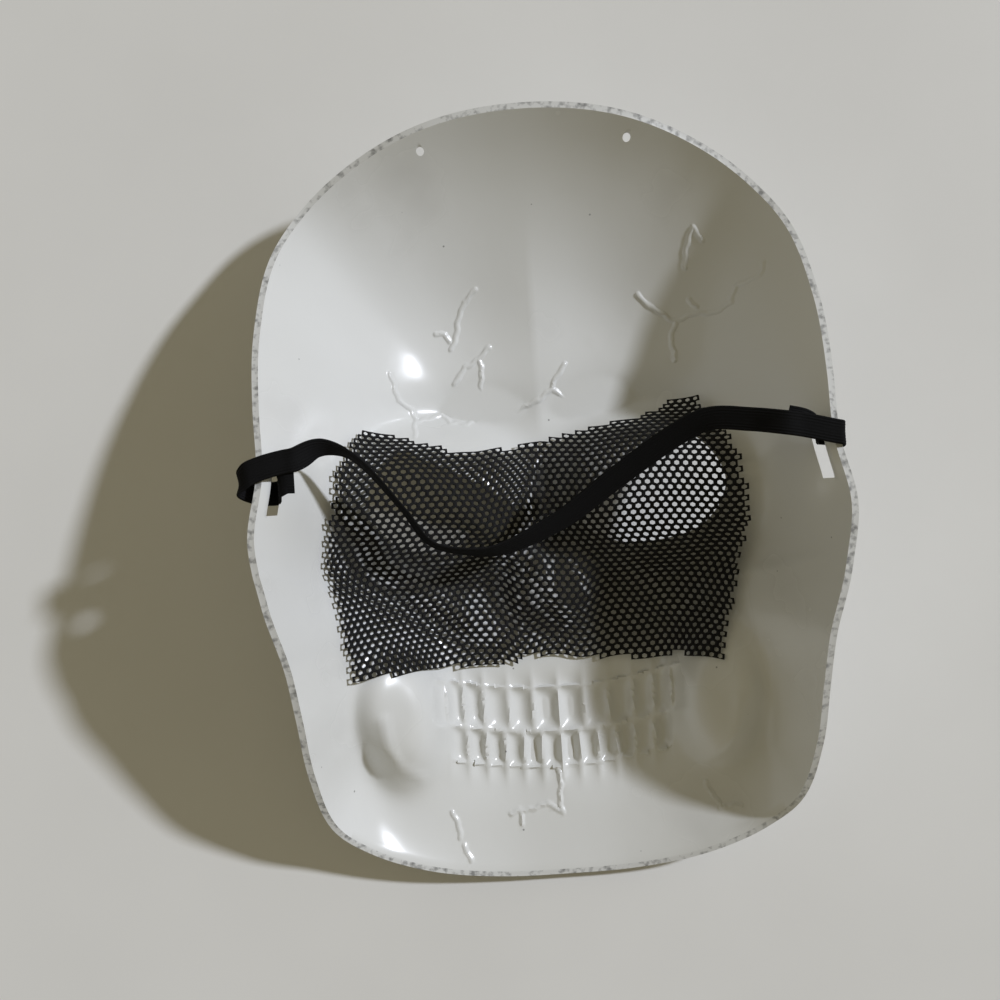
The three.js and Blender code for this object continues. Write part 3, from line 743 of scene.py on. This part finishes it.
def insideOutline(x, y, points):
    inside = False
    for (ax, ay), (bx, by) in zip(points, points[1:] + points[:1]):
        if (ay * mm > y) != (by * mm > y) and x < (bx - ax) * (y - ay * mm) / (by - ay) + ax * mm:
            inside = not inside
    return inside


def netMaterial():
    material, nodes, links, shader = startMaterial("blackNet", (0.012, 0.012, 0.013), 0.85)
    place = nodes.new("ShaderNodeTexCoord").outputs["Object"]
    fibres = noiseNode(nodes, links, place, 1600, 2)
    tone = rangeNode(nodes, links, fibres.outputs["Fac"], 0.3, 0.7, 0, 1)
    thread = mixColour(nodes, links, tone, (0.004, 0.004, 0.004), (0.014, 0.014, 0.015))
    links.new(thread, shader.inputs["Base Color"])
    addBump(nodes, links, shader, fibres.outputs["Fac"], 0.7, 0.0002)
    shader.inputs["Specular IOR Level"].default_value = 0.2
    return material


def buildNet():
    bm = bmesh.new()
    across, up = net["cellsAcross"], net["cellsUp"]
    bmesh.ops.create_grid(bm, x_segments=across * 2, y_segments=up, size=1)
    for vert in bm.verts:
        vert.co = (vert.co.x * across * net["pitchAcross"] / 2, vert.co.y * up * net["pitchUp"] / 2, 0)

    # every other upright edge goes, brick by brick
    halfPitch = net["pitchAcross"] / 2
    gone = []
    for edge in bm.edges:
        start, end = edge.verts
        if abs(start.co.x - end.co.x) > 0.1 * mm or edge.is_boundary:
            continue
        row = round((min(start.co.y, end.co.y) / net["pitchUp"]) + up / 2)
        column = round(start.co.x / halfPitch) + across
        if (column + row) % 2:
            gone.append(edge)
    bmesh.ops.dissolve_edges(bm, edges=gone, use_verts=False)
    bmesh.ops.delete(bm, geom=[face for face in bm.faces if len(face.verts) < 6], context="FACES")

    # cells outside the cut outline go, and each that stays gets a round hole
    centres = np.array([face.calc_center_median()[:] for face in bm.faces])
    x, y = planFromCloth(centres[:, 0], centres[:, 1])
    outside = [face for face, px, py in zip(bm.faces, x, y) if not insideOutline(px, py, net["outline"])]
    bmesh.ops.delete(bm, geom=outside, context="FACES")
    faces = bm.faces[:]
    bmesh.ops.inset_individual(bm, faces=faces, thickness=net["inset"])
    for face in faces:
        centre = face.calc_center_median()
        for vert in face.verts:
            way = (vert.co - centre).normalized()
            vert.co = centre + Vector((way.x * net["holeWide"], way.y * net["holeTall"], 0)) / 2
    bmesh.ops.delete(bm, geom=faces, context="FACES_ONLY")
    bmesh.ops.delete(bm, geom=[vert for vert in bm.verts if not vert.link_faces], context="VERTS")

    co = np.array([vert.co[:] for vert in bm.verts])
    x, y = planFromCloth(co[:, 0], co[:, 1])
    for vert, px, py, pz in zip(bm.verts, x, y, sampleField(netHeights, x, y)):
        vert.co = Vector((px, py, pz)) + faceMiddle
    if sum(face.normal.z for face in bm.faces) < 0:
        bmesh.ops.reverse_faces(bm, faces=bm.faces[:])
    obj = newObject("eyeMesh", bm, [netMaterial()])
    solid = obj.modifiers.new("thread", "SOLIDIFY")
    solid.thickness = net["thick"]
    solid.offset = 1
    applyModifiers(obj)
    return obj


eyeMesh = buildNet()
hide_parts("eye_mesh")
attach(eyeMesh, "root")
print("Skull mask: net laid,", len(eyeMesh.data.polygons), "faces")


# Elastic strap

strap = {
    "wide": 8 * mm,
    "thick": 1.0 * mm,
    "ribs": 9,
    "ribDeep": 0.13 * mm,
    "pointsPerRib": 4,
    "edgeRound": 8,
    "stepsPerPlace": 24,
    "evenOver": 9,  # stations to each side over which the strap's turn is evened out
    "lapGap": 0.2 * mm,
    # rises: how far towards the crown each place of a loop is shifted, in millimetres, from tail to band
    "left": {
        "lap": 6 * mm,
        "slack": 4.4 * mm,
        "rises": (-4.5, -4.5, -5.5, -6.5, -7.5, -8, -7.5, -4.5, -1.5, 0.5, 2, 2.5),
    },
    "right": {
        "lap": 10.5 * mm,
        "slack": 0,
        "rises": (5.5, 4, 2, 1, 0, 0, -1, -1.5, -0.8, 0, 2.5, 3.8),
    },
    "gap": 0.35 * mm,
    "way": [  # across, up, high as shares of half the width, half the height and the rim; lean in degrees
        (-0.747, 0.149, 0.93, 45), (-0.652, 0.125, 0.87, 75), (-0.505, -0.006, 0.67, 76),
        (-0.415, -0.099, 0.57, 74), (-0.281, -0.127, 0.515, 72), (-0.178, -0.126, 0.5, 58),
        (0.039, -0.063, 0.525, 25), (0.247, 0.038, 0.615, 8), (0.454, 0.131, 0.735, 0),
        (0.553, 0.159, 0.805, 0), (0.682, 0.149, 0.9, 0),
    ],
}


def heightAt(x, y):
    return float(mainHeight(np.array([x]), np.array([y]))[0])


def loopPlaces(side, loop):
    # the way round the rim: tail, slot, under the lip, outside, back over the lip
    lap = loop["lap"]
    up = strapSlot["up"] + strapSlot["long"] / 2 - strap["wide"] / 2 - 2 * strap["gap"]
    edgeUp = up - strap["wide"] / 2
    rimX = rimAcross(edgeUp)
    rimZ = heightAt(rimX, edgeUp)
    slotX = rimAcross(up) - strapSlot["inset"]
    slotZ = heightAt(slotX, up)
    wall, thick, gap = packedWall, strap["thick"], strap["gap"]
    clear = thick / 2 + gap
    bandZ = rimZ + wall + clear + gap
    lapZ = bandZ - thick - strap["lapGap"]
    outX = rimX + lipWide + clear + loop["slack"]
    places = [
        (slotX - lap, lapZ), (slotX - lap / 2, lapZ), (slotX - lap / 5, lapZ - thick),
        (slotX - thick / 2, slotZ + wall + 2 * clear), (slotX, slotZ + wall / 2),
        (slotX + thick, slotZ - 2 * clear),
        (rimX + lipWide, (slotZ + rimZ) / 2 - 2 * clear), (outX, rimZ - clear),
        ((rimX + lipWide + outX) / 2, bandZ), (rimX - clear, bandZ + gap), (slotX - lap / 2, bandZ),
        (slotX - lap * 1.1, bandZ),
    ]
    found = []
    for (px, pz), rise in zip(places, loop["rises"]):
        found.append((Vector((side * px, up + rise * mm, pz)), 0, True))
    return found


def strapPlaces():
    left = loopPlaces(-1, strap["left"])
    right = loopPlaces(1, strap["right"])
    way = [(Vector((a * halfWide, u * halfTall, h * rimHigh)), lean, False) for a, u, h, lean in strap["way"]]
    return left + way + right[::-1]


def strapStations():
    # smooth run through the places, each station with its middle, its lean and whether it is in a loop
    places = strapPlaces()
    per = strap["stepsPerPlace"]
    points = []
    for k in range(len(places) - 1):
        p1, p2 = places[k][0], places[k + 1][0]
        p0 = places[k - 1][0] if k else p1 * 2 - p2
        p3 = places[k + 2][0] if k + 2 < len(places) else p2 * 2 - p1
        gaps = [max((b - a).length, 1e-6) ** 0.5 for a, b in ((p0, p1), (p1, p2), (p2, p3))]
        slope1 = ((p1 - p0) / gaps[0] - (p2 - p0) / (gaps[0] + gaps[1]) + (p2 - p1) / gaps[1]) * gaps[1]
        slope2 = ((p2 - p1) / gaps[1] - (p3 - p1) / (gaps[1] + gaps[2]) + (p3 - p2) / gaps[2]) * gaps[1]
        for step in range(per):
            t = step / per
            middle = (p1 * (2 * t ** 3 - 3 * t ** 2 + 1) + slope1 * (t ** 3 - 2 * t ** 2 + t)
                      + p2 * (3 * t ** 2 - 2 * t ** 3) + slope2 * (t ** 3 - t ** 2))
            looped = places[k][2] and places[k + 1][2]
            points.append((middle, places[k][1] * (1 - t) + places[k + 1][1] * t, looped))
    points.append((places[-1][0], 0, True))
    return points


def widthWays(points):
    # directions of the strap's width and thickness at each station, smoothed so that it turns evenly
    reach = strap["evenOver"]
    ways = []
    for k, (middle, lean, looped) in enumerate(points):
        along = (points[min(k + 1, len(points) - 1)][0] - points[max(k - 1, 0)][0]).normalized()
        flat = Vector((0, 0, 1)).cross(along)
        if looped or flat.length < 0.1:
            ways.append((Vector((0, 1, 0)), along))
            continue
        flat.normalize()
        lean = math.radians(lean)
        ways.append((flat * math.cos(lean) + along.cross(flat) * math.sin(lean), along))
    smoothed = []
    for k in range(len(ways)):
        near = [ways[n][0] for n in range(max(0, k - reach), min(len(ways), k + reach + 1))]
        width = sum(near, Vector()).normalized()
        along = ways[k][1]
        width = (width - along * width.dot(along)).normalized()
        smoothed.append((width, width.cross(along).normalized()))
    return smoothed


def strapMaterial():
    material, nodes, links, shader = startMaterial("blackElastic", (0.006, 0.006, 0.006), 0.8)
    weave = nodes.new("ShaderNodeUVMap")
    weave.uv_map = "weave"
    waves = nodes.new("ShaderNodeTexWave")
    waves.bands_direction = "X"
    waves.inputs["Scale"].default_value = 0.32
    waves.inputs["Distortion"].default_value = 0.6
    links.new(weave.outputs["UV"], waves.inputs["Vector"])
    fuzz = noiseNode(nodes, links, weave.outputs["UV"], 3, 3)
    tone = rangeNode(nodes, links, fuzz.outputs["Fac"], 0.3, 0.7, 0, 1)
    yarn = mixColour(nodes, links, tone, (0.003, 0.003, 0.003), (0.009, 0.009, 0.01))
    links.new(yarn, shader.inputs["Base Color"])
    addBump(nodes, links, shader, waves.outputs["Fac"], 0.6, 0.0002)
    shader.inputs["Specular IOR Level"].default_value = 0.1
    return material


def buildStrap():
    points = strapStations()
    ways = widthWays(points)
    ring = []  # cross-section: across the width as a share, and through the thickness
    steps = strap["ribs"] * strap["pointsPerRib"]
    for side in (1, -1):
        for k in range(steps):
            share = side * (1 - 2 * k / steps)
            edge = (1 - abs(share) ** strap["edgeRound"]) ** 0.5
            rib = strap["ribDeep"] * (0.5 + 0.5 * math.cos(share * strap["ribs"] * math.pi))
            ring.append((share, side * edge * (strap["thick"] / 2 - strap["ribDeep"] + rib)))
    bm = bmesh.new()
    bmesh.ops.create_grid(bm, x_segments=len(ring), y_segments=len(points) - 1, size=1)
    uvLayer = bm.loops.layers.uv.new("weave")
    lengths = [0]
    for (a, _, _), (b, _, _) in zip(points, points[1:]):
        lengths.append(lengths[-1] + (b - a).length)
    places = {}
    for vert in bm.verts:
        column = round((vert.co.x + 1) / 2 * len(ring))
        row = round((vert.co.y + 1) / 2 * (len(points) - 1))
        share, deep = ring[column % len(ring)]
        width, thickWay = ways[row]
        places[vert] = (share * strap["wide"] / 2 / mm, lengths[row] / mm)
        vert.co = faceMiddle + points[row][0] + width * share * strap["wide"] / 2 + thickWay * deep
    for face in bm.faces:
        for loop in face.loops:
            loop[uvLayer].uv = places[loop.vert]
    bmesh.ops.remove_doubles(bm, verts=bm.verts[:], dist=1e-6)
    ends = [edge for edge in bm.edges if edge.is_boundary]
    bmesh.ops.holes_fill(bm, edges=ends, sides=0)
    bmesh.ops.recalc_face_normals(bm, faces=bm.faces[:])
    return newObject("elasticStrap", bm, [strapMaterial()])


elasticStrap = buildStrap()
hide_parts("elastic_strap")
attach(elasticStrap, "root")
print("Skull mask: strap swept,", len(elasticStrap.data.polygons), "faces")


# Stage: camera straight above, pale floor, key light low from the right, warm fill

camera = {
    "high": 605 * mm,
    "roll": -3.9,  # degrees
    "fromFace": (-16.7 * mm, -0.3 * mm),
    "view": 34.6,  # degrees across
}


def addCamera():
    data = bpy.data.cameras.new("camera")
    data.angle = math.radians(camera["view"])
    obj = bpy.data.objects.new("camera", data)
    across, up = camera["fromFace"]
    obj.location = faceMiddle + Vector((across, up, camera["high"]))
    obj.rotation_euler = (0, 0, math.radians(camera["roll"]))
    bpy.context.scene.collection.objects.link(obj)
    bpy.context.scene.camera = obj


floorLook = {
    "reach": 3,
    "middle": (0.76, 0.755, 0.735),
    "dark": (0.74, 0.735, 0.715),
    "light": (0.78, 0.775, 0.755),
    "roughness": 0.6,
}


def addFloor():
    bm = bmesh.new()
    bmesh.ops.create_grid(bm, x_segments=1, y_segments=1, size=floorLook["reach"])
    material, nodes, links, shader = startMaterial("floor", floorLook["middle"], floorLook["roughness"])
    place = nodes.new("ShaderNodeTexCoord").outputs["Object"]
    cloudy = noiseNode(nodes, links, place, 9, 3)
    tone = rangeNode(nodes, links, cloudy.outputs["Fac"], 0.3, 0.7, 0, 1)
    mottled = mixColour(nodes, links, tone, floorLook["dark"], floorLook["light"])
    links.new(mottled, shader.inputs["Base Color"])
    newObject("floor", bm, [material])


keyLight = {
    "strength": 2.5,
    "colour": (0.86, 0.9, 1),
    "azimuth": 24,  # degrees from the right towards the crown
    "elevation": 39,  # degrees
    "across": 4,  # degrees, for soft edges of its shadows
    "far": 1.6,
}


def addKeyLight():
    data = bpy.data.lights.new("key", "SUN")
    data.energy = keyLight["strength"]
    data.color = keyLight["colour"]
    data.angle = math.radians(keyLight["across"])
    azimuth, elevation = math.radians(keyLight["azimuth"]), math.radians(keyLight["elevation"])
    level = math.cos(elevation)
    way = Vector((math.cos(azimuth) * level, math.sin(azimuth) * level, math.sin(elevation))).normalized()
    obj = bpy.data.objects.new("key", data)
    obj.location = way * keyLight["far"]
    obj.rotation_euler = way.to_track_quat("Z", "Y").to_euler()
    bpy.context.scene.collection.objects.link(obj)


fillLight = {"strength": 0.245, "colour": (1, 0.9, 0.62)}


def addFillLight():
    world = bpy.data.worlds.new("fill")
    world.use_nodes = True
    background = world.node_tree.nodes["Background"]
    background.inputs["Color"].default_value = (*fillLight["colour"], 1)
    background.inputs["Strength"].default_value = fillLight["strength"]
    bpy.context.scene.world = world


addCamera()
addFloor()
addKeyLight()
addFillLight()
bpy.context.scene.view_settings.view_transform = "Standard"
print("Skull mask: stage set")
